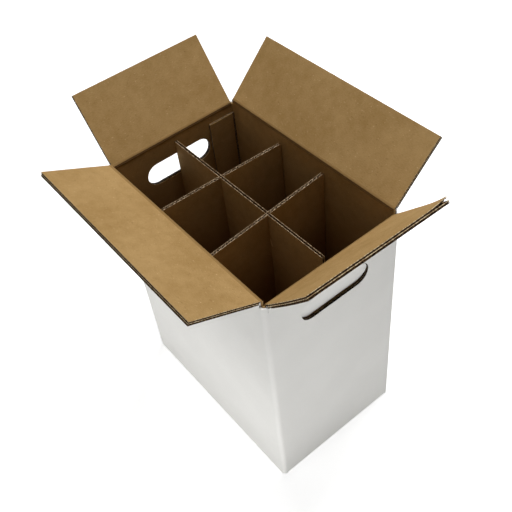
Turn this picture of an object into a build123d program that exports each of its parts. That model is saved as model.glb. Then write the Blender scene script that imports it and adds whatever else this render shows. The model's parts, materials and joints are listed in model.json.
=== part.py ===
from build123d import *
import os
from math import cos, sin, tan, radians

# A slotted carton of double-wall corrugated board for six bottles, standing open.
# X runs along the two long side walls and Y across the two short end walls, with Z up.
# The origin is in the middle of the underside. The front end wall is the one at +X.
# One sheet makes the four walls, the glue tab and the closed bottom. Its four top flaps
# are separate solids, because each one turns on its own crease.

# Carton, measured outside
length = 280.0
width = 181.0
end_crease_height = 338.0
board = 4.8
fold_inside_radius = 0.6

# Flaps
flap_meeting_gap = 8.0
bottom_meeting_gap = 0.5
flap_stack_clearance = 0.3
end_flap_clearance = 0.3
side_flap_inset = 3.3
closing_angle = 90.0
opening_angle = 150.0
crease_angle_margin = 2.0
crease_clearance = 0.12
front_flap_angle = 44.0
rear_flap_angle = 37.8
left_flap_angle = 63.8
right_flap_angle = 45.0

# Corrugation of the double-wall board, seen on its cut edges
liner = 0.35
flute_wall = 0.3
outer_flute_pitch = 6.4
inner_flute_pitch = 7.8
flute_end_margin = 2.5
crushed_length = 14.0

# Glue tab of the maker's joint, inside the rear end wall at the right corner
tab_width = 37.0
tab_thickness = 3.2
tab_top_drop = 11.5
tab_fold_radius = 2.5
wall_edge_inset = 0.4
wall_edge_gap = 0.5

# Hand holes in both end walls
hand_hole_width = 92.0
hand_hole_height = 30.0
front_hand_hole_drop = 31.0
rear_hand_hole_drop = 26.0
hand_hole_flute_depth = 25.0
push_in_gap = 0.9
push_in_angle = 9.0
push_in_hinge_width = 56.0
push_in_hinge_height = 8.0

# Dividers of single-wall board, interlocked by half slots
divider_board = 3.0
divider_liner = 0.3
divider_pitch = 6.4
divider_drop = 8.6
divider_corner_radius = 5.0
long_divider_play = 12.6
long_divider_wall_gap = 0.1
cross_divider_play = 2.4
rear_cell_length = 89.5
cross_divider_spacing = 82.0
slot_clearance = 0.8
slot_overlap = 1.0
front_cross_angle = 4.5
rear_cross_angle = -1.8
divider_flute_depth = 140.0

# Places that follow from the sizes above
half_length = length / 2
half_width = width / 2
half_board = board / 2
fold_radius = board + fold_inside_radius
inner_half_length = half_length - board
inner_half_width = half_width - board
side_crease_height = end_crease_height + board + flap_stack_clearance
end_axis = half_length - half_board
side_axis = half_width - half_board
side_flap_reach = side_axis - flap_meeting_gap / 2
end_flap_reach = side_flap_reach + side_crease_height - end_crease_height
end_crease_half = half_width - fold_radius
side_crease_half = half_length - fold_radius
tab_side_crease_end = inner_half_length - tab_fold_radius
side_flap_half = end_axis - side_flap_inset
inner_bevel = (closing_angle + crease_angle_margin) / 2
outer_bevel = (opening_angle + crease_angle_margin) / 2
corner_foot = board + half_board
floor_height = 2 * board
divider_top = end_crease_height - divider_drop
divider_height = divider_top - floor_height
long_divider_span = 2 * inner_half_length - long_divider_play
long_divider_end = -inner_half_length + long_divider_wall_gap


def polar(radius, degrees):
    """A point at this distance and direction from the crease axis."""
    return (radius * cos(radians(degrees)), radius * sin(radians(degrees)))


def shifted(point, across, up):
    return (point[0] + across, point[1] + up)


def wall_section(outside, underside, crease, flap_tip):
    """One wall, cut across: its bottom flap, the bottom fold and the crushed crease on top."""
    axis = outside - half_board
    inside = outside - board
    fold_centre = outside - fold_radius
    fold_top = underside + fold_radius
    tip_low = (flap_tip, underside)
    tip_high = (flap_tip, underside + board)
    outer_low = (fold_centre, underside)
    outer_side = (outside, fold_top)
    outer_middle = shifted(polar(fold_radius, -45), fold_centre, fold_top)
    inner_low = (fold_centre, underside + board)
    inner_side = (inside, fold_top)
    inner_middle = shifted(polar(fold_inside_radius, -45), fold_centre, fold_top)
    outer_edge = (outside, crease - half_board * tan(radians(outer_bevel)))
    inner_edge = (inside, crease - half_board * tan(radians(inner_bevel)))
    bead_outer = shifted(polar(half_board, -outer_bevel), axis, crease)
    bead_top = (axis, crease + half_board)
    bead_inner = shifted(polar(half_board, 180 + inner_bevel), axis, crease)
    return make_face([
        Line(tip_low, outer_low),
        ThreePointArc(outer_low, outer_middle, outer_side),
        Line(outer_side, outer_edge),
        Line(outer_edge, bead_outer),
        ThreePointArc(bead_outer, bead_top, bead_inner),
        Line(bead_inner, inner_edge),
        Line(inner_edge, inner_side),
        ThreePointArc(inner_side, inner_middle, inner_low),
        Line(inner_low, tip_high),
        Line(tip_high, tip_low),
    ])


def between(plane, section, low, high):
    """Extrude a section along the plane's normal from low to high."""
    return extrude(plane.offset(low) * section, high - low)


def front_end_wall():
    section = wall_section(half_length, board, end_crease_height, end_axis - end_flap_reach)
    return extrude(Plane.XZ * section, end_crease_half, both=True)


def side_wall(low, high):
    section = wall_section(half_width, 0, side_crease_height, bottom_meeting_gap / 2)
    return between(Plane.YZ, section, low, high)


def corner_fold(across, along):
    """A folded corner of the walls, between the slots above and below."""
    outer = Circle(fold_radius)
    inner = Circle(fold_inside_radius)
    quarter = Pos(fold_radius / 2, fold_radius / 2) * Rectangle(fold_radius, fold_radius)
    ring = (outer - inner) & quarter
    post = between(Plane.XY, ring, corner_foot, end_crease_height)
    turn = {(1, 1): 0, (-1, 1): 90, (-1, -1): 180, (1, -1): 270}[(across, along)]
    return Pos(across * side_crease_half, along * end_crease_half, 0) * Rot(Z=turn) * post


def makers_joint():
    """The rear right corner: the rear wall's cut edge, and the glue tab folded in behind it."""
    edge_length = half_width - wall_edge_inset - end_crease_half
    wall_edge = Pos(-end_axis, end_crease_half + edge_length / 2) * Rectangle(board, edge_length)
    stub_length = tab_fold_radius - wall_edge_gap
    stub = Pos(-tab_side_crease_end - stub_length / 2, side_axis) * Rectangle(stub_length, board)
    stem = between(Plane.XY, wall_edge + stub, corner_foot, end_crease_height)
    fold_start = (-tab_side_crease_end, half_width)
    fold_end = (-inner_half_length, half_width - tab_fold_radius)
    fold_middle = shifted(polar(tab_fold_radius, 135), fold_start[0], fold_end[1])
    tab_outer = (-inner_half_length, inner_half_width - tab_width)
    tab_inner = (-inner_half_length + tab_thickness, inner_half_width - tab_width)
    tab_root = (-inner_half_length + tab_thickness, inner_half_width)
    wall_root = (-tab_side_crease_end + tab_fold_radius, inner_half_width)
    wall_face = (-tab_side_crease_end + tab_fold_radius, half_width)
    tab = make_face([
        Line(wall_face, fold_start),
        ThreePointArc(fold_start, fold_middle, fold_end),
        Line(fold_end, tab_outer),
        Line(tab_outer, tab_inner),
        Line(tab_inner, tab_root),
        Line(tab_root, wall_root),
        Line(wall_root, wall_face),
    ])
    return stem + between(Plane.XY, tab, corner_foot + tab_top_drop, end_crease_height - tab_top_drop)


def flute_triangles(low, high, base, crown, pitch):
    """The hollows of one corrugated layer: triangles that stand on its two liners in turn."""
    count = int((high - low) / pitch)
    start = (low + high - count * pitch) / 2
    slant = flute_wall
    foot = pitch - 3 * flute_wall
    cells = []
    for number in range(count):
        for at, flat, point in ((0.25, base, crown - slant), (0.75, crown, base + slant)):
            middle = start + (number + at) * pitch
            left = (middle - foot / 2, flat)
            right = (middle + foot / 2, flat)
            cells.append(make_face(Polyline(left, right, (middle, point), close=True)))
    return cells


def double_wall_flutes(low, high, face):
    """Hollows of both layers over a run of board whose outer face is at the given place."""
    outer = flute_triangles(low, high, face - liner, face - half_board + liner / 2, outer_flute_pitch)
    inner = flute_triangles(low, high, face - half_board - liner / 2, face - board + liner,
                            inner_flute_pitch)
    return outer + inner


def hand_hole(drop):
    """What a hand hole takes out of the front end wall: the slot, and the flutes in its lower edge."""
    low_edge = end_crease_height - drop - hand_hole_height
    slot = extrude(Plane.YZ * SlotOverall(hand_hole_width, hand_hole_height), 2 * board, both=True)
    run = (hand_hole_width - hand_hole_height) / 2
    cells = double_wall_flutes(-run, run, half_length)
    turned = [mirror(cell, about=Plane(origin=(0, 0, 0), z_dir=(1, -1, 0))) for cell in cells]
    flutes = [Pos(0, 0, low_edge) * extrude(cell, -hand_hole_flute_depth) for cell in turned]
    return [Pos(half_length, 0, low_edge + hand_hole_height / 2) * slot] + flutes


def push_in_tab():
    """The front hand hole's own board, still attached along its top and pushed in a little."""
    panel = SlotOverall(hand_hole_width - 2 * push_in_gap, hand_hole_height - 2 * push_in_gap)
    hinge = Rectangle(push_in_hinge_width, push_in_hinge_height)
    outline = Pos(0, -hand_hole_height / 2) * panel + Pos(0, -push_in_hinge_height / 2) * hinge
    solid = extrude(Plane.YZ * outline, -board)
    top_edge = end_crease_height - front_hand_hole_drop
    return Pos(half_length, 0, top_edge) * Rot(Y=push_in_angle) * solid


def carton():
    front = front_end_wall()
    rear = mirror(front, about=Plane.YZ)
    left = mirror(side_wall(-side_crease_half, side_crease_half), about=Plane.XZ)
    right = side_wall(-tab_side_crease_end, side_crease_half)
    corners = [corner_fold(1, 1), corner_fold(1, -1), corner_fold(-1, -1)]
    body = front + rear + left + right + corners + makers_joint()
    rear_cuts = [mirror(solid, about=Plane.YZ) for solid in hand_hole(rear_hand_hole_drop)]
    return body - hand_hole(front_hand_hole_drop) - rear_cuts + push_in_tab()


def flap(low, high, reach):
    """A top flap standing straight up, its crease along Y at the origin, its outer face at +X."""
    socket = half_board + crease_clearance
    outer_edge = (half_board, half_board * tan(radians(outer_bevel)))
    inner_edge = (-half_board, half_board * tan(radians(inner_bevel)))
    socket_outer = polar(socket, outer_bevel)
    socket_inner = polar(socket, 180 - inner_bevel)
    section = make_face([
        Line((half_board, reach), outer_edge),
        Line(outer_edge, socket_outer),
        ThreePointArc(socket_outer, (0, socket), socket_inner),
        Line(socket_inner, inner_edge),
        Line(inner_edge, (-half_board, reach)),
        Line((-half_board, reach), (half_board, reach)),
    ])
    panel = Pos(0, (low + high) / 2, 0) * extrude(Plane.XZ * section, (high - low) / 2, both=True)
    cells = double_wall_flutes(low + flute_end_margin, high - flute_end_margin, half_board)
    turned = [mirror(cell, about=Plane(origin=(0, 0, 0), z_dir=(1, -1, 0))) for cell in cells]
    return panel - [Pos(0, 0, reach) * extrude(cell, crushed_length - reach) for cell in turned]


def end_flap(angle):
    half = end_crease_half - end_flap_clearance
    return Pos(end_axis, 0, end_crease_height) * Rot(Y=angle) * flap(-half, half, end_flap_reach)


def side_flap(low, high, angle):
    return Pos(side_axis, 0, side_crease_height) * Rot(Y=angle) * flap(low, high, side_flap_reach)


def divider(span, slots, slot_from_top):
    """A divider strip in the XZ plane, standing on Z = 0, with its slots and fluted top edge."""
    sheet = Pos(0, divider_height / 2) * RectangleRounded(span, divider_height, divider_corner_radius)
    slot_length = divider_height / 2 + slot_overlap
    slot_middle = divider_height - slot_length / 2 if slot_from_top else slot_length / 2
    for place in slots:
        sheet -= Pos(place, slot_middle) * Rectangle(divider_board + slot_clearance, slot_length)
    strip = extrude(Plane.XZ * sheet, divider_board / 2, both=True)
    stops = [-span / 2 + divider_corner_radius]
    if slot_from_top:
        for place in slots:
            stops.append(place - divider_board / 2 - slot_clearance)
            stops.append(place + divider_board / 2 + slot_clearance)
    stops.append(span / 2 - divider_corner_radius)
    cells = []
    for low, high in zip(stops[::2], stops[1::2]):
        cells += flute_triangles(low, high, divider_board / 2 - divider_liner,
                                 -divider_board / 2 + divider_liner, divider_pitch)
    return strip - [Pos(0, 0, divider_height) * extrude(cell, -divider_flute_depth) for cell in cells]


def long_divider():
    rear_slot = rear_cell_length - long_divider_span / 2
    strip = divider(long_divider_span, [rear_slot, rear_slot + cross_divider_spacing], False)
    return Pos(long_divider_end + long_divider_span / 2, 0, floor_height) * strip


def cross_divider(slot_place, angle):
    """A cross divider in the long divider's slot that lies this far from its rear end."""
    strip = divider(2 * inner_half_width - cross_divider_play, [0], True)
    return Pos(long_divider_end + slot_place, 0, floor_height) * Rot(Z=90 + angle) * strip


nodes = {
    "carton": carton(),
    "front_end_flap": end_flap(front_flap_angle),
    "rear_end_flap": mirror(end_flap(rear_flap_angle), about=Plane.YZ),
    "left_side_flap": Rot(Z=-90) * side_flap(-side_flap_half, side_flap_half, left_flap_angle),
    "right_side_flap": Rot(Z=90) * side_flap(-side_flap_half, tab_side_crease_end, right_flap_angle),
    "long_divider": long_divider(),
    "front_cross_divider": cross_divider(rear_cell_length + cross_divider_spacing, front_cross_angle),
    "rear_cross_divider": cross_divider(rear_cell_length, rear_cross_angle),
}

os.makedirs("parts", exist_ok=True)
for name, shape in nodes.items():
    shape.label = name
    export_step(shape, "parts/" + name + ".step")
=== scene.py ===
import json
import bpy
from math import cos, pi, radians, sin, tan
from mathutils import Matrix, Quaternion, Vector


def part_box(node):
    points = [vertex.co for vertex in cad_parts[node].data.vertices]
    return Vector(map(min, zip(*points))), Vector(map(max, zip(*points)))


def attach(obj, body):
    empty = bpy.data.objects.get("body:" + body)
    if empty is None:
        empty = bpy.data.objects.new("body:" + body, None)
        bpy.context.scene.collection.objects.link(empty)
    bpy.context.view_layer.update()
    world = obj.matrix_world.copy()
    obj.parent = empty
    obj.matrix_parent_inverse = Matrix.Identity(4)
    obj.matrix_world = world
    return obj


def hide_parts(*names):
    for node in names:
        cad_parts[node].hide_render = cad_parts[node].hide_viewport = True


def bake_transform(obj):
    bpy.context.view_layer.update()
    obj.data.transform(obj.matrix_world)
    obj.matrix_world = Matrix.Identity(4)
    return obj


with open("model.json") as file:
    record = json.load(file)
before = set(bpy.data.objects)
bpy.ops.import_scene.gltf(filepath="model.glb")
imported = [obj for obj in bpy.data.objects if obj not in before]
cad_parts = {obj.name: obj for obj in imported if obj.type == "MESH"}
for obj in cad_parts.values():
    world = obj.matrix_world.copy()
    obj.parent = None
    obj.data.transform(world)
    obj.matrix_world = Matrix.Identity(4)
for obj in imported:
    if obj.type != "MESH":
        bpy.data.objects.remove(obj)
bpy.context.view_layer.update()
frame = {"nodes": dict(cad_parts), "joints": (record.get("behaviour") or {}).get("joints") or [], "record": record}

# The carton
# One die-cut sheet of double-wall corrugated board, white on its outside and brown kraft inside. It is
# folded round four corners, glued at the rear right corner by a tab behind the wall, and closed below.

mm = 0.001
board = 4.8
half_board = board / 2
liner = 0.35
outer_pitch = 6.4
inner_pitch = 7.8
fold_radius = 5.4
tab_thickness = 3.2
tab_glue = 0.1
tab_skin = 0.3
tab_foot = 2 * board + 1
carton_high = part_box("carton")[1]
half_length = carton_high.x / mm
half_width = carton_high.y / mm
face_slack = 0.02
corner_slack = 0.05
slot_foot = 330.0
hand_hole_width = 92.0
hand_hole_height = 30.0
push_in_gap = 0.9
push_in_slack = 0.2
push_in_angle = radians(9)
push_in_top = 307.0
push_in_middle = push_in_top - hand_hole_height / 2
push_in_half_run = (hand_hole_width - hand_hole_height) / 2
push_in_radius = hand_hole_height / 2 - push_in_gap + push_in_slack
push_in_depth = 14.0


def shade(red, green, blue):
    """A colour as a screen shows it, 0 to 255, as the linear colour that a shader takes."""
    parts = [value / 255 for value in (red, green, blue)]
    return tuple(v / 12.92 if v <= 0.04045 else ((v + 0.055) / 1.055) ** 2.4 for v in parts) + (1.0,)


kraft_dark = shade(160, 127, 77)
kraft_light = shade(182, 149, 99)
kraft_fleck = shade(122, 90, 50)
kraft_fibre = shade(216, 188, 140)
# Painted shade: a darker, redder kraft mixed in low inside the box, fading out higher up
painted_shade_kraft = shade(110, 68, 27)
painted_shade_share = 0.72
shade_painted_below = 205.0
plain_above = 335.0
raw_edge = shade(150, 124, 92)
edge_shadow = shade(34, 23, 13)
crushed_core = shade(120, 96, 66)
middle_half = 0.2
middle_faded = 0.45
crushed_half = 0.3
crushed_faded = 0.9
white_print = shade(235, 234, 230)
white_cloud = shade(232, 231, 227)
paper_gloss = 0.15
carton_roughness = 0.75


class Signal:
    """A socket of a material. Sums, products and comparisons of signals add the Math nodes."""

    def __init__(self, tree, socket=None):
        self.tree = tree
        self.socket = socket

    def node(self, kind, settings=None, sockets=None, output=0):
        """Add a node: its settings first, then the values or links of its sockets."""
        made = self.tree.nodes.new(kind)
        for name, value in (settings or {}).items():
            setattr(made, name, value)
        for name, value in (sockets or {}).items():
            if isinstance(value, Signal):
                self.tree.links.new(value.socket, made.inputs[name])
            else:
                made.inputs[name].default_value = value
        return Signal(self.tree, made.outputs[output] if made.outputs else None)

    def math(self, operation, *values):
        return self.node("ShaderNodeMath", {"operation": operation}, dict(enumerate(values)))

    def __add__(self, other):
        return self.math("ADD", self, other)

    def __sub__(self, other):
        return self.math("SUBTRACT", self, other)

    def __mul__(self, other):
        return self.math("MULTIPLY", self, other)

    def __rsub__(self, other):
        return self.math("SUBTRACT", other, self)

    def __gt__(self, other):
        return self.math("GREATER_THAN", self, other)

    def __lt__(self, other):
        return self.math("LESS_THAN", self, other)

    def __abs__(self):
        return self.math("ABSOLUTE", self)

    __radd__ = __add__
    __rmul__ = __mul__

    def at_least(self, other):
        return self.math("MAXIMUM", self, other)

    def at_most(self, other):
        return self.math("MINIMUM", self, other)

    def rise(self, low, high):
        """A smooth step from 0 at the low value to 1 at the high one."""
        return self.node("ShaderNodeMapRange", {"interpolation_type": "SMOOTHSTEP"},
                         {"Value": self, "From Min": low, "From Max": high})

    def parts(self):
        """The three parts of a place or a direction."""
        split = self.node("ShaderNodeSeparateXYZ", {}, {0: self})
        names = split.socket.node.outputs
        return [Signal(self.tree, names[axis]) for axis in "XYZ"]

    def joined(self, second, third):
        """A place or a direction that has this signal as its first part."""
        return self.node("ShaderNodeCombineXYZ", {}, {0: self, 1: second, 2: third})

    def length(self):
        return self.node("ShaderNodeVectorMath", {"operation": "LENGTH"}, {0: self}, "Value")

    def scaled(self, x, y, z):
        return self.node("ShaderNodeVectorMath", {"operation": "MULTIPLY"}, {0: self, 1: (x, y, z)})

    def in_mm(self):
        return self.scaled(1 / mm, 1 / mm, 1 / mm)

    def noise(self, scale, detail):
        return self.node("ShaderNodeTexNoise", {}, {"Vector": self, "Scale": scale, "Detail": detail})

    def mix(self, first, second):
        """The first colour where this signal is 0, the second where it is 1."""
        return self.node("ShaderNodeMix", {"data_type": "RGBA"}, {0: self, 6: first, 7: second}, 2)


def new_finish(name):
    """An empty material, and the signal that its nodes start from."""
    made = bpy.data.materials.new(name)
    made.use_nodes = True
    made.node_tree.nodes.clear()
    return made, Signal(made.node_tree)


def paper_surface(start, colour, relief, roughness):
    """End a material in matt paper. The relief is in millimetres."""
    bump = start.node("ShaderNodeBump", {}, {"Height": relief, "Distance": mm, "Strength": 1.0})
    shader = start.node("ShaderNodeBsdfPrincipled", {}, {
        "Base Color": colour, "Normal": bump, "Roughness": roughness, "Specular IOR Level": paper_gloss})
    start.node("ShaderNodeOutputMaterial", {}, {"Surface": shader})


def flute_marks(along, pitch):
    """The faint ribs that the flutes press into a liner."""
    return (along * (2 * pi / pitch)).math("COSINE")


def kraft_paper(sheet, pitch):
    """Colour and relief of bare kraft liner, from the place on the flat sheet in millimetres."""
    flutes = flute_marks(sheet.parts()[0], pitch)
    clouds = sheet.noise(0.012, 3)
    mottle = sheet.noise(0.09, 3)
    fibres = sheet.scaled(0.35, 1.2, 1.2).noise(1.0, 4)
    tone = clouds * 0.4 + mottle * 0.25 + fibres * 0.35 + flutes * 0.012
    dark_flecks = sheet.scaled(0.35, 0.8, 0.8).noise(0.8, 2).rise(0.66, 0.74)
    light_flecks = sheet.scaled(0.3, 0.5, 0.5).noise(1.0, 2).rise(0.66, 0.75)
    colour = tone.rise(0.35, 0.66).mix(kraft_dark, kraft_light)
    colour = (dark_flecks * 0.4).mix(colour, kraft_fleck)
    colour = (light_flecks * 0.45).mix(colour, kraft_fibre)
    relief = fibres * 0.05 + mottle * 0.04 + flutes * 0.02
    return colour, relief


def painted_shade_low(colour, height, low, high):
    """Painted shade: darker kraft low in the box, fading to plain kraft from the higher level up."""
    return ((1 - height.rise(low, high)) * painted_shade_share).mix(colour, painted_shade_kraft)


def printed_white(sheet, pitch):
    """Colour and relief of the white outer liner."""
    flutes = flute_marks(sheet.parts()[0], pitch)
    clouds = sheet.noise(0.02, 3)
    fibres = sheet.scaled(0.4, 0.9, 0.9).noise(1.0, 3)
    colour = (clouds * 0.6 + fibres * 0.4).rise(0.4, 0.65).mix(white_cloud, white_print)
    relief = fibres * 0.015 + flutes * 0.015
    return colour, relief


def carton_finish():
    """White outside, kraft inside, and cut edges painted dark as the shade in their flutes, with light liners
    between.
    """
    made, start = new_finish("carton_paper")
    x, y, z = start.node("ShaderNodeTexCoord", {}, {}, "Object").in_mm().parts()

    # How deep a place lies under the outer face of the board, round its corners and its foot too
    past_x = abs(x) - (half_length - fold_radius)
    past_y = abs(y) - (half_width - fold_radius)
    lift = (past_x > -corner_slack) * board
    past_z = fold_radius + lift - z
    reach = past_x.at_least(0).joined(past_y.at_least(0), past_z.at_least(0)).length()
    inside = past_x.at_least(past_y).at_least(past_z).at_most(0)
    depth = fold_radius - reach - inside

    # The front hand hole's tab is pushed in, so its depth is measured square to its own face
    below = z - push_in_top
    turned_depth = (half_length - x) * cos(push_in_angle) + below * sin(push_in_angle)
    run = (abs(y) - push_in_half_run).at_least(0)
    spot = run.joined(z - push_in_middle, 0.0).length()
    on_tab = (spot < push_in_radius) * (x > half_length - push_in_depth)
    depth = turned_depth * on_tab + depth * (1 - on_tab)

    # The two liners
    on_end = past_x > past_y
    along = y * on_end + x * (1 - on_end)
    across = x * on_end + y * (1 - on_end)
    sheet = along.joined(z, across)
    kraft, kraft_relief = kraft_paper(sheet, inner_pitch)
    # Painted shade: the inner kraft is darker low in the box
    kraft = painted_shade_low(kraft, z, shade_painted_below, plain_above)
    white, white_relief = printed_white(sheet, outer_pitch)
    corner_slot = (past_x > -corner_slack) * (past_y > -corner_slack) * (z > slot_foot)
    printed = depth < liner + face_slack + corner_slot * half_board
    colour = printed.mix(kraft, white)
    relief = white_relief * printed + kraft_relief * (1 - printed)

    # The cut edges between them, painted dark as shade, with the frayed middle liner
    core = (depth > liner + face_slack) * (depth < board - liner - face_slack)
    cut = core * (1 - corner_slot)
    from_middle = abs(depth - half_board)
    fray = sheet.noise(0.8, 3).rise(0.35, 0.7)
    frayed_middle = (1 - from_middle.rise(middle_half, middle_faded)) * fray
    colour = cut.mix(colour, frayed_middle.mix(edge_shadow, raw_edge))
    pressed_line = core * corner_slot * (1 - from_middle.rise(crushed_half, crushed_faded))
    colour = pressed_line.mix(colour, crushed_core)
    # The tab's cut edge behind the wall, also painted dark as shade
    tab_edge = (depth > board + tab_glue) * (depth < board + tab_thickness - tab_skin) * (z > tab_foot)
    colour = tab_edge.mix(colour, fray.mix(edge_shadow, raw_edge))
    paper_surface(start, colour, relief, carton_roughness)
    return made


carton = frame["nodes"]["carton"]
carton.data.materials.clear()
carton.data.materials.append(carton_finish())

# The top flaps
# Four flaps of the same double-wall board, each cut square and hinged on a crease along its wall. The
# board is three paper liners glued to two fluted sheets, which show at every cut edge as rows of waves.

kraft_liner = 0.5
middle_liner = 0.6
half_middle = middle_liner / 2
medium = 0.3
closing_angle = 90.0
opening_angle = 150.0
bevel_spare = 1.0
outer_root = half_board * tan(radians(opening_angle / 2 + bevel_spare))
inner_root = half_board * tan(radians(closing_angle / 2 + bevel_spare))
outer_flutes_back = 1.4
inner_flutes_clear = 0.2
outer_phase_step = 0.23
inner_phase = 0.6
curls = {
    "front_flap": (0.3, 2.6),
    "rear_flap": (0.8, 0.4),
    "left_flap": (-0.6, -0.2),
    "right_flap": (-0.3, -1.3),
}
tip_lift = 2.2
tip_reach = 34.0
layer_slack = 0.05
pattern_step = 300
liner_cell = 6.0
flute_rows = 8
flute_steps = 10
same_place = 1e-6
torn_dark = shade(168, 136, 98)
torn_pale = shade(248, 226, 184)
# Painted shade: the cut edges of the white liner and of the flutes are drawn dark, as shade
edge_shade_dark = shade(38, 26, 14)
edge_shade_pale = shade(146, 116, 80)
# Painted shade: the fluted sheets' paper is drawn dark, as the shade inside the flutes
fluting_shade_dark = shade(46, 32, 19)
fluting_shade_pale = shade(86, 61, 36)
white_roughness = 0.65
kraft_roughness = 0.85
edge_roughness = 0.9


def only(piece):
    """Leave this piece alone selected and active."""
    bpy.ops.object.select_all(action="DESELECT")
    piece.select_set(True)
    bpy.context.view_layer.objects.active = piece


def choose_points(piece, wanted):
    """In edit mode, select the points whose place passes the test."""
    bpy.ops.object.mode_set(mode="EDIT")
    bpy.ops.mesh.select_mode(type="VERT")
    bpy.ops.mesh.select_all(action="DESELECT")
    bpy.ops.object.mode_set(mode="OBJECT")
    for point in piece.data.vertices:
        point.select = wanted(point.co)
    bpy.ops.object.mode_set(mode="EDIT")


def turn_over(sheet):
    """Turn all the faces of a flat sheet to look the other way."""
    choose_points(sheet, lambda place: True)
    bpy.ops.mesh.flip_normals()
    bpy.ops.object.mode_set(mode="OBJECT")


def trim(sheet, spot, outward, keep=False):
    """Cut a flat sheet along a line, and drop what lies outward of it unless it is kept."""
    choose_points(sheet, lambda place: True)
    bpy.ops.mesh.bisect(plane_co=Vector((*spot, 0)) * mm, plane_no=(*outward, 0), clear_outer=not keep)
    bpy.ops.object.mode_set(mode="OBJECT")


def add_modifier(piece, kind, **settings):
    """Add a modifier with these settings, and apply it."""
    only(piece)
    made = piece.modifiers.new(kind.lower(), kind)
    for name, value in settings.items():
        setattr(made, name, value)
    bpy.ops.object.modifier_apply(modifier=made.name)


def apply_place():
    """Put the active piece's place, turn and scale into its mesh."""
    bpy.ops.object.transform_apply(location=True, rotation=True, scale=True)


def flat_grid(low, high, start, end, level, columns, rows):
    """A flat sheet in millimetres: X along the crease, Y away from it, Z through the board."""
    bpy.ops.object.select_all(action="DESELECT")
    middle = Vector(((low + high) / 2, (start + end) / 2, level)) * mm
    bpy.ops.mesh.primitive_grid_add(x_subdivisions=columns, y_subdivisions=rows, size=1, location=middle)
    sheet = bpy.context.object
    sheet.scale = ((high - low) * mm, (end - start) * mm, 1)
    apply_place()
    return sheet


def flat_liner(low, high, start, end, outer_level, thickness, faces):
    """One liner: its lower face at the given level, and the finishes of its two faces and its rim."""
    columns = max(1, round((high - low) / liner_cell))
    rows = max(1, round((end - start) / liner_cell))
    sheet = flat_grid(low, high, start, end, outer_level, columns, rows)
    turn_over(sheet)
    lower, upper, rim = faces
    dress(sheet, lower)
    add_modifier(sheet, "SOLIDIFY", thickness=thickness * mm, offset=-1,
                 material_offset=upper - lower, material_offset_rim=rim - lower)
    return sheet


def fluted_sheet(low, high, start, end, level, depth, pitch, phase):
    """One fluted sheet with no thickness: a wave shaped column by column, repeated, and trimmed."""
    wave = flat_grid(0, pitch, start, end, level, flute_steps, flute_rows)
    columns = sorted({round(point.co.x, 7) for point in wave.data.vertices})
    for number, column in enumerate(columns):
        choose_points(wave, lambda place: abs(place.x - column) < same_place)
        rise = (depth - medium) / 2 * cos(2 * pi * number / (len(columns) - 1))
        bpy.ops.transform.translate(value=(0, 0, rise * mm))
        bpy.ops.object.mode_set(mode="OBJECT")
    count = int((high - low) / pitch) + 3
    add_modifier(wave, "ARRAY", count=count, use_relative_offset=False, use_constant_offset=True,
                 constant_offset_displace=(pitch * mm, 0, 0), use_merge_vertices=True,
                 merge_threshold=same_place)
    wave.location.x = (low - pitch * (1 + phase)) * mm
    apply_place()
    trim(wave, (low, 0), (-1, 0))
    trim(wave, (high, 0), (1, 0))
    return wave


def thicken_flutes(wave, rim_slot):
    """Give a fluted sheet the thickness of its paper, and its cut rim a finish."""
    dress(wave, shaded_fluting_slot)
    add_modifier(wave, "SOLIDIFY", thickness=medium * mm, offset=0,
                 material_offset_rim=rim_slot - shaded_fluting_slot)


def fluted_medium(low, high, start, end, floor_level, top_level, pitch, phase):
    """One fluted sheet of the double-wall board, between the levels of its two liners."""
    level = (floor_level + top_level) / 2
    wave = fluted_sheet(low, high, start, end, level, top_level - floor_level, pitch, phase)
    thicken_flutes(wave, shaded_edge_slot)
    return wave


def sheet_finish(name, pattern, pitch, roughness):
    """A paper finish that reads the place on the flat board, stored before the piece was bent."""
    made, start = new_finish(name)
    stored = start.node("ShaderNodeAttribute", {"attribute_name": "sheet_place"}, {}, "Vector")
    colour, relief = pattern(stored.in_mm(), pitch)
    paper_surface(start, colour, relief, roughness)
    return made


def pale_edge(sheet, pitch):
    """The cut edge of a liner that catches the light: torn pale fibres."""
    fray = sheet.noise(0.5, 3)
    return fray.rise(0.38, 0.62).mix(torn_dark, torn_pale), fray * 0.05


def shaded_edge(sheet, pitch):
    """The cut edge of the white liner and of the fluted sheets: painted dark as the shade in the cut, with frayed
    fibres.
    """
    fray = sheet.noise(0.5, 3)
    return fray.rise(0.4, 0.66).mix(edge_shade_dark, edge_shade_pale), fray * 0.05


def shaded_fluting(sheet, pitch):
    """The rougher paper of the fluted sheets, painted dark as the shade inside the flutes."""
    grain = sheet.noise(0.9, 3)
    return grain.rise(0.35, 0.7).mix(fluting_shade_dark, fluting_shade_pale), grain * 0.04


finishes = [
    sheet_finish("white_liner", printed_white, outer_pitch, white_roughness),
    sheet_finish("kraft_liner", kraft_paper, inner_pitch, kraft_roughness),
    sheet_finish("fluted_paper", shaded_fluting, inner_pitch, edge_roughness),
    sheet_finish("dull_cut_edge", shaded_edge, inner_pitch, edge_roughness),
    sheet_finish("pale_cut_edge", pale_edge, inner_pitch, edge_roughness),
]
white_slot, kraft_slot, shaded_fluting_slot, shaded_edge_slot, pale_slot = range(len(finishes))


def dress(piece, slot_number):
    """Give a piece the paper finishes, with all its faces in one of them."""
    for made in finishes:
        piece.data.materials.append(made)
    for face in piece.data.polygons:
        face.material_index = slot_number


def name_piece(piece, name):
    """Give a piece and its mesh the same name."""
    piece.name = name
    piece.data.name = name


def join(pieces, name):
    """Join the pieces into one with this name."""
    only(pieces[0])
    for piece in pieces[1:]:
        piece.select_set(True)
    bpy.ops.object.join()
    joined = bpy.context.object
    name_piece(joined, name)
    return joined


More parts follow.
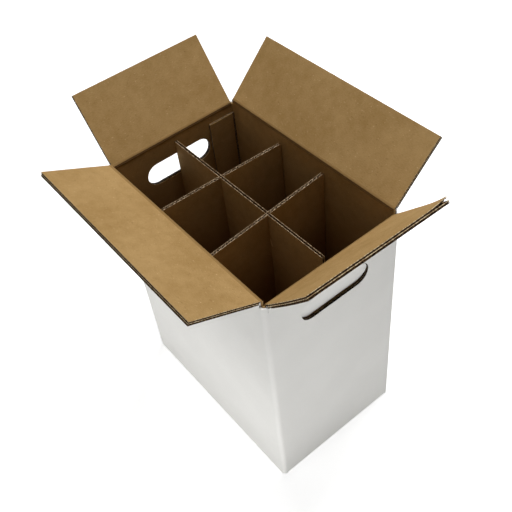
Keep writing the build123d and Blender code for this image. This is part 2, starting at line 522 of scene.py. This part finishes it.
def store_sheet_place(piece, shift):
    """Keep each point's place on the flat board as an attribute, for the paper's pattern."""
    stored = piece.data.attributes.new("sheet_place", "FLOAT_VECTOR", "POINT")
    for point, value in zip(piece.data.vertices, stored.data):
        value.vector = point.co + Vector((shift * mm, 0, 0))


def put(piece, matrix):
    """Turn and move a piece from the flat frame to its place, and leave its object at the origin."""
    only(piece)
    piece.matrix_world = matrix
    apply_place()


def double_wall_board(low, high, end, phase):
    """The flap's board, flat: white liner below, kraft liner on top, two fluted sheets between."""
    outer_start = outer_root - outer_flutes_back
    inner_start = inner_root + inner_flutes_clear
    outer_low = liner - half_board
    inner_high = half_board - kraft_liner
    outer_faces = (white_slot, shaded_fluting_slot, shaded_edge_slot)
    middle_faces = (shaded_fluting_slot, shaded_fluting_slot, pale_slot)
    inner_faces = (shaded_fluting_slot, kraft_slot, pale_slot)
    return [
        flat_liner(low, high, outer_root, end, -half_board, liner, outer_faces),
        fluted_medium(low, high, outer_start, end, outer_low, -half_middle, outer_pitch, phase),
        flat_liner(low, high, inner_start, end, -half_middle, middle_liner, middle_faces),
        fluted_medium(low, high, inner_start, end, half_middle, inner_high, inner_pitch, inner_phase),
        flat_liner(low, high, inner_root, end, inner_high, kraft_liner, inner_faces),
    ]


def lift_points(piece, height, share):
    """Lift a flat board's points towards its kraft side, each by its own share of this height."""
    group = piece.vertex_groups.new(name="lift")
    for point in piece.data.vertices:
        group.add([point.index], share(*(point.co / mm)), "REPLACE")
    add_modifier(piece, "DISPLACE", direction="Z", mid_level=0.0, strength=height * mm, vertex_group="lift")
    piece.vertex_groups.clear()


def curl_corner(piece, foot, tip, end, curl):
    """Curl one free corner of a flap, at the tip of its free edge, by these millimetres."""
    def share(across, up, through):
        reach = max(0.0, (up - outer_root) / (end - outer_root))
        return (across - foot) / (tip - foot) * reach ** 2

    lift_points(piece, curl, share)


def part_layers(piece, tip, end):
    """Part the layers at one worn corner: the kraft liner lifts there, with the flutes under it."""
    def share(across, up, through):
        gone = Vector((across - tip, up - end)).length
        return (through > half_middle + layer_slack) * max(0.0, 1 - gone / tip_reach) ** 2

    lift_points(piece, tip_lift, share)


def crease_frame(joint, lean):
    """The flat frame of a flap at rest: X along the crease, Y up the flap, Z out of its kraft face."""
    pivot = Vector(joint["pos_m"])
    outward = Vector((pivot.x, pivot.y, 0)).normalized()
    up_flap = outward * sin(lean) + Vector((0, 0, 1)) * cos(lean)
    kraft_side = Vector((0, 0, 1)) * sin(lean) - outward * cos(lean)
    along = up_flap.cross(kraft_side)
    turn = Matrix((along, up_flap, kraft_side)).transposed().to_4x4()
    return Matrix.Translation(pivot) @ turn


def flap_of(joint):
    """The body and the node that a crease's joint moves, its lean from upright, and its flat frame."""
    body = joint["child"]
    node = frame["record"]["behaviour"]["bodies"][body][0]
    lean = radians(-joint["range_deg"][0] - closing_angle)
    return body, node, lean, crease_frame(joint, lean)


def flap_extent(node, place):
    """The flap's two side edges and its free edge, in its flat frame."""
    corners = [place.inverted() @ point.co / mm for point in frame["nodes"][node].data.vertices]
    across = [corner.x for corner in corners]
    return min(across), max(across), max(corner.y for corner in corners)


for number, joint in enumerate(frame["joints"]):
    body, node, lean, place = flap_of(joint)
    low, high, end = flap_extent(node, place)
    flap = join(double_wall_board(low, high, end, outer_phase_step * number), body + "_board")
    store_sheet_place(flap, pattern_step * number)
    if body == "front_flap":
        part_layers(flap, low, end)
    low_curl, high_curl = curls[body]
    curl_corner(flap, high, low, end, low_curl)
    curl_corner(flap, low, high, end, high_curl)
    put(flap, place)
    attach(flap, body)
    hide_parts(node)

# The creases
# Each top flap bends from its wall along a crease pressed into the board before it was folded. Outside,
# the white liner turns in on itself, and inside the kraft liner is stretched round over the crushed core.

crease_rise = 0.42
outer_bend_radius = 1.2
crease_rows = 20
same_row = 1e-7
# Painted shade along the inside of the crease, and a painted groove shadow in the score line
crease_shade_kraft = shade(134, 104, 62)
crease_shade_half = 2.2
crease_shade_faded = 6.5
crushed_fibre_and_groove_shadow = shade(74, 50, 26)
score_half = 0.2
score_faded = 0.9
score_wander = 0.9


def scored_kraft(sheet, pitch):
    """Kraft liner with painted shade along the crease, which runs where the sheet is 0 up, and a dark score line
    that is partly broken fibres and partly a painted shadow of its groove.
    """
    colour, relief = kraft_paper(sheet, pitch)
    up = sheet.parts()[1]
    wander = sheet.scaled(0.3, 0.0, 0.0).noise(1.0, 3) * score_wander - score_wander / 2
    # Painted shade along the crease
    pressed = 1 - abs(up).rise(crease_shade_half, crease_shade_faded)
    colour = (pressed * 0.7).mix(colour, crease_shade_kraft)
    # The score line: broken fibres, darkened further as a painted shadow of its groove
    score = 1 - abs(up + wander).rise(score_half, score_faded)
    return (score * 0.85).mix(colour, crushed_fibre_and_groove_shadow), relief - score * 0.15


scored_slot = len(finishes)
finishes.append(sheet_finish("scored_kraft_liner", scored_kraft, inner_pitch, kraft_roughness))


def folded_liner(name, low, high, start_up, length, path, faces, outward):
    """A strip of liner along a crease: flat at first, then each row is moved to its place on the path."""
    columns = round((high - low) / liner_cell)
    strip = flat_grid(low, high, -length / 2, length / 2, 0, columns, crease_rows)
    name_piece(strip, name)
    store_sheet_place(strip, 0)
    bpy.ops.transform.translate(value=(0, (start_up + length / 2) * mm, 0))
    apply_place()
    if outward < 0:
        turn_over(strip)
    rows = sorted({round(point.co.y, 8) for point in strip.data.vertices})
    flat = [point.co.y for point in strip.data.vertices]
    for number, row in enumerate(rows):
        across, up = path(number / crease_rows)
        bpy.ops.object.mode_set(mode="EDIT")
        bpy.ops.mesh.select_all(action="DESELECT")
        bpy.ops.object.mode_set(mode="OBJECT")
        for point, level in zip(strip.data.vertices, flat):
            point.select = abs(level - row) < same_row
        bpy.ops.object.mode_set(mode="EDIT")
        bpy.ops.transform.translate(value=(0, across * mm - row, up * mm))
        bpy.ops.object.mode_set(mode="OBJECT")
    face, rim = faces
    dress(strip, face)
    add_modifier(strip, "SOLIDIFY", thickness=liner * mm, offset=-1, material_offset_rim=rim - face)
    return strip


def turned(angle, along, out):
    """A point beside the crease: along the wall or flap, and out from its middle, turned by an angle."""
    return (along * cos(angle) - out * sin(angle), along * sin(angle) + out * cos(angle))


def inner_length(lean):
    """The kraft strip's length over the crease, when the flap leans out by this angle."""
    return 2 * inner_root + lean * half_board


def inner_path(lean, t):
    """The kraft liner's line over the crease, from the wall at 0 to the flap at 1."""
    arc = lean * half_board
    gone = t * inner_length(lean)
    out = half_board + crease_rise * (1 - (2 * t - 1) ** 4)
    if gone < inner_root:
        return turned(lean, gone - inner_root, out)
    if gone < inner_root + arc:
        return turned(lean - (gone - inner_root) / half_board, 0, out)
    return turned(0, gone - inner_root - arc, out)


def outer_corner(lean):
    """How far from the corner of the bend the white liner's tight round starts."""
    return (half_board + outer_bend_radius) * tan(lean / 2)


def outer_length(lean):
    """The white strip's length under the crease, when the flap leans out by this angle."""
    return 2 * (outer_root - outer_corner(lean)) + lean * outer_bend_radius


def outer_path(lean, t):
    """The white liner's line under the crease, with a tight round at the inside of the bend."""
    corner = outer_corner(lean)
    leg = outer_root - corner
    arc = lean * outer_bend_radius
    gone = t * outer_length(lean)
    if gone < leg:
        return turned(lean, gone - outer_root, -half_board)
    if gone > leg + arc:
        return turned(0, gone - leg - arc + corner, -half_board)
    centre = turned(lean, -corner, -half_board - outer_bend_radius)
    spoke = turned(lean - (gone - leg) / outer_bend_radius, 0, outer_bend_radius)
    return (centre[0] + spoke[0], centre[1] + spoke[1])


def crease(joint, name, path, root, length, faces, outward):
    """Fold a strip of liner over one crease, where the flap rests."""
    body, node, lean, place = flap_of(joint)
    low, high = flap_extent(node, place)[:2]
    whole = length(lean)
    strip = folded_liner(body + name, low, high, root - whole, whole,
                         lambda t: path(lean, t), faces, outward)
    put(strip, place)
    ends = [place @ (Vector((0, *path(lean, t))) * mm) for t in (0, 1)]
    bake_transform(strip)


for joint in frame["joints"]:
    crease(joint, "_inner_crease", inner_path, inner_root, inner_length, (scored_slot, pale_slot), 1)
    crease(joint, "_outer_crease", outer_path, outer_root, outer_length, (white_slot, white_slot), -1)

# The dividers
# Three strips of thinner single-wall board that make the six bottle cells. They are die-cut with rounded
# top corners, and half slots push them together: the long one is slotted from below, the others from above.

divider_board = 3.0
divider_liner = 0.38
divider_pitch = 6.4
divider_corner = 5.0
slot_width = 3.8
slot_overlap = 1.0
front_askew = 4.5
rear_askew = -1.8
tick_along = 95.0
tick_up = 281.0
tick_half_height = 7.5
tick_lean = 0.3
tick_half_width = 0.3
tick_faded = 0.9
worn_dark = shade(118, 92, 66)
worn_pale = shade(226, 200, 166)
divider_shade_painted_below = 195.0
divider_plain_above = 322.0
divider_rows = 20
corner_steps = 4
divider_pattern_step = 500


def divider_kraft(sheet, pitch):
    """The dividers' kraft: darker low in the box by painted shade, with one small torn tick on the long strip."""
    colour, relief = kraft_paper(sheet, pitch)
    along, up, across = sheet.parts()
    # Painted shade: darker kraft low in the box
    colour = painted_shade_low(colour, up, divider_shade_painted_below, divider_plain_above)
    aside = abs(along - tick_along + (up - tick_up) * tick_lean)
    line = 1 - aside.rise(tick_half_width, tick_faded)
    tick = line * (abs(up - tick_up) < tick_half_height) * (across > 0)
    return (tick * 0.8).mix(colour, kraft_fibre), relief + tick * 0.1


def worn_edge(sheet, pitch):
    """The top edge of a divider's liner, rough and dirty from use."""
    fray = sheet.noise(0.45, 4)
    return fray.rise(0.38, 0.6).mix(worn_dark, worn_pale), fray * 0.1


divider_slot = len(finishes)
worn_slot = divider_slot + 1
finishes.append(sheet_finish("divider_liner", divider_kraft, inner_pitch, kraft_roughness))
finishes.append(sheet_finish("worn_divider_edge", worn_edge, inner_pitch, edge_roughness))


def round_corners(sheet, span, height):
    """Cut a sheet's two top corners round, a few straight cuts to each."""
    for side in (-1, 1):
        centre = (side * (span / 2 - divider_corner), height - divider_corner)
        for step in range(1, corner_steps):
            angle = pi / 2 * step / corner_steps
            outward = (side * cos(angle), sin(angle))
            spot = (centre[0] + divider_corner * outward[0], centre[1] + divider_corner * outward[1])
            trim(sheet, spot, outward)


def die_cut(sheet, span, height, slots, from_top):
    """Round the sheet's top corners and cut its half slots."""
    round_corners(sheet, span, height)
    slot_end = height / 2 - slot_overlap if from_top else height / 2 + slot_overlap
    trim(sheet, (0, slot_end), (0, 1), keep=True)
    for middle in slots:
        low = middle - slot_width / 2
        high = middle + slot_width / 2
        trim(sheet, (low, 0), (-1, 0), keep=True)
        trim(sheet, (high, 0), (1, 0), keep=True)
        bpy.ops.object.mode_set(mode="EDIT")
        bpy.ops.mesh.select_mode(type="FACE")
        bpy.ops.mesh.select_all(action="DESELECT")
        bpy.ops.object.mode_set(mode="OBJECT")
        for face in sheet.data.polygons:
            above = face.center.y > slot_end * mm
            face.select = low * mm < face.center.x < high * mm and above == from_top
        bpy.ops.object.mode_set(mode="EDIT")
        bpy.ops.mesh.delete(type="FACE")
        bpy.ops.object.mode_set(mode="OBJECT")


def single_wall_board(span, height, slots, from_top, phase):
    """A divider's board, flat: two kraft liners with one fluted sheet between, all cut to its outline.

    The cross strips' flutes are frayed pale along the top. The long strip's are painted dark, as shade between its
    liners.
    """
    low = -span / 2
    high = span / 2
    level = divider_board / 2
    columns = round(span / liner_cell)
    back = flat_grid(low, high, 0, height, -level, columns, divider_rows)
    front = flat_grid(low, high, 0, height, level, columns, divider_rows)
    flute_depth = divider_board - 2 * divider_liner
    wave = fluted_sheet(low, high, 0, height, 0, flute_depth, divider_pitch, phase)
    for sheet in (back, front, wave):
        die_cut(sheet, span, height, slots, from_top)
    turn_over(back)
    for sheet in (back, front):
        dress(sheet, divider_slot)
        add_modifier(sheet, "SOLIDIFY", thickness=divider_liner * mm, offset=-1,
                     material_offset_rim=worn_slot - divider_slot)
    thicken_flutes(wave, worn_slot if from_top else shaded_fluting_slot)
    return [back, front, wave]


def divider(node, turn, slots, from_top, phase):
    """One divider strip, standing where its solid stands."""
    low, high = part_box(node)
    size = (high - low) / mm
    crosswise = abs(turn) > pi / 4
    length = size.y if crosswise else size.x
    tilt = abs(turn) - pi / 2 if crosswise else turn
    span = (length - divider_board * abs(sin(tilt))) / cos(tilt)
    piece = join(single_wall_board(span, size.z, slots, from_top, phase), node + "_board")
    store_sheet_place(piece, divider_pattern_step * phase)
    foot = Vector(((low.x + high.x) / 2, (low.y + high.y) / 2, low.z))
    upright = Matrix.Rotation(turn, 4, "Z") @ Matrix.Rotation(pi / 2, 4, "X")
    put(piece, Matrix.Translation(foot) @ upright)
    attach(piece, "box")
    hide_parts(node)


def middle_of(node):
    """The middle of a node along the carton, in millimetres."""
    low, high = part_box(node)
    return (low.x + high.x) / 2 / mm


long_middle = middle_of("long_divider")
crossings = [middle_of(node) - long_middle for node in ("rear_cross_divider", "front_cross_divider")]
divider("long_divider", 0, crossings, from_top=False, phase=0.1)
divider("front_cross_divider", radians(90 + front_askew), [0], from_top=True, phase=0.4)
divider("rear_cross_divider", radians(90 + rear_askew), [0], from_top=True, phase=0.7)

# The studio
# A white floor and surround. Soft lamps light the box from overhead, from behind and from high on the
# left, where the near flap shades its wall. Two low ones light the end wall and the foot of the left wall.

camera_place = Vector((492.6, -323.0, 871.7)) * mm
camera_target = Vector((-12.888, 10.814, 215.428)) * mm
camera_roll = radians(-7.6196)
lens = 51.92
sensor = 36.0
lamp_target = Vector((0, 0, 0.2))
floor_size = 30
floor_glow = 0.68
room_light = 0.01
white = (1, 1, 1, 1)
floor_tone = shade(238, 238, 238)

bpy.ops.object.camera_add(location=camera_place)
camera = bpy.context.object
camera.data.lens = lens
camera.data.sensor_width = sensor
camera.rotation_mode = "QUATERNION"
aim = (camera_target - camera_place).to_track_quat("-Z", "Y")
camera.rotation_quaternion = aim @ Quaternion((0, 0, 1), camera_roll)
bpy.context.scene.camera = camera


def soft_lamp(name, place, width, height, power):
    """A rectangular soft lamp that points at the middle of the carton."""
    bpy.ops.object.light_add(type="AREA", location=place)
    lamp = bpy.context.object
    lamp.name = name
    lamp.data.shape = "RECTANGLE"
    lamp.data.size = width
    lamp.data.size_y = height
    lamp.data.energy = power
    lamp.visible_camera = False
    lamp.rotation_euler = (lamp_target - Vector(place)).to_track_quat("-Z", "Y").to_euler()


soft_lamp("top_lamp", (-0.1, 0.36, 2.6), 0.7, 0.7, 37.8)
soft_lamp("back_lamp", (-0.6, 1.4, 1.9), 0.8, 0.8, 12.8)
soft_lamp("left_lamp", (0.1, -1.0, 1.9), 1.4, 0.5, 2.6)
soft_lamp("front_lamp", (0.9, -0.11, 0.2), 0.25, 0.25, 1.72)
soft_lamp("floor_lamp", (0.05, -0.42, 0.03), 0.9, 0.06, 1.25)


def seen_directly(start):
    """1 where the camera sees a thing straight, in a mirror or through glass, and 0 for its light."""
    rays = ("Is Camera Ray", "Is Glossy Ray", "Is Transmission Ray")
    camera_ray, glossy_ray, through_ray = [start.node("ShaderNodeLightPath", {}, {}, ray) for ray in rays]
    return camera_ray.at_least(glossy_ray).at_least(through_ray)


bpy.ops.mesh.primitive_plane_add(size=floor_size, location=(0, 0, 0))
floor = bpy.context.object
floor.name = "floor"
made, start = new_finish("floor_white")
diffuse = start.node("ShaderNodeBsdfDiffuse", {}, {"Color": floor_tone})
glow = start.node("ShaderNodeEmission", {}, {"Color": white, "Strength": floor_glow})
both = start.node("ShaderNodeAddShader", {}, {0: diffuse, 1: glow})
mixed = start.node("ShaderNodeMixShader", {}, {0: seen_directly(start), 1: diffuse, 2: both})
start.node("ShaderNodeOutputMaterial", {}, {"Surface": mixed})
floor.data.materials.append(made)

world = bpy.data.worlds.new("surround")
bpy.context.scene.world = world
world.use_nodes = True
world.node_tree.nodes.clear()
start = Signal(world.node_tree)
room = start.node("ShaderNodeBackground", {}, {"Color": white, "Strength": room_light})
backdrop = start.node("ShaderNodeBackground", {}, {"Color": white, "Strength": 1.0})
mixed = start.node("ShaderNodeMixShader", {}, {0: seen_directly(start), 1: room, 2: backdrop})
start.node("ShaderNodeOutputWorld", {}, {"Surface": mixed})
bpy.context.scene.view_settings.view_transform = "Standard"
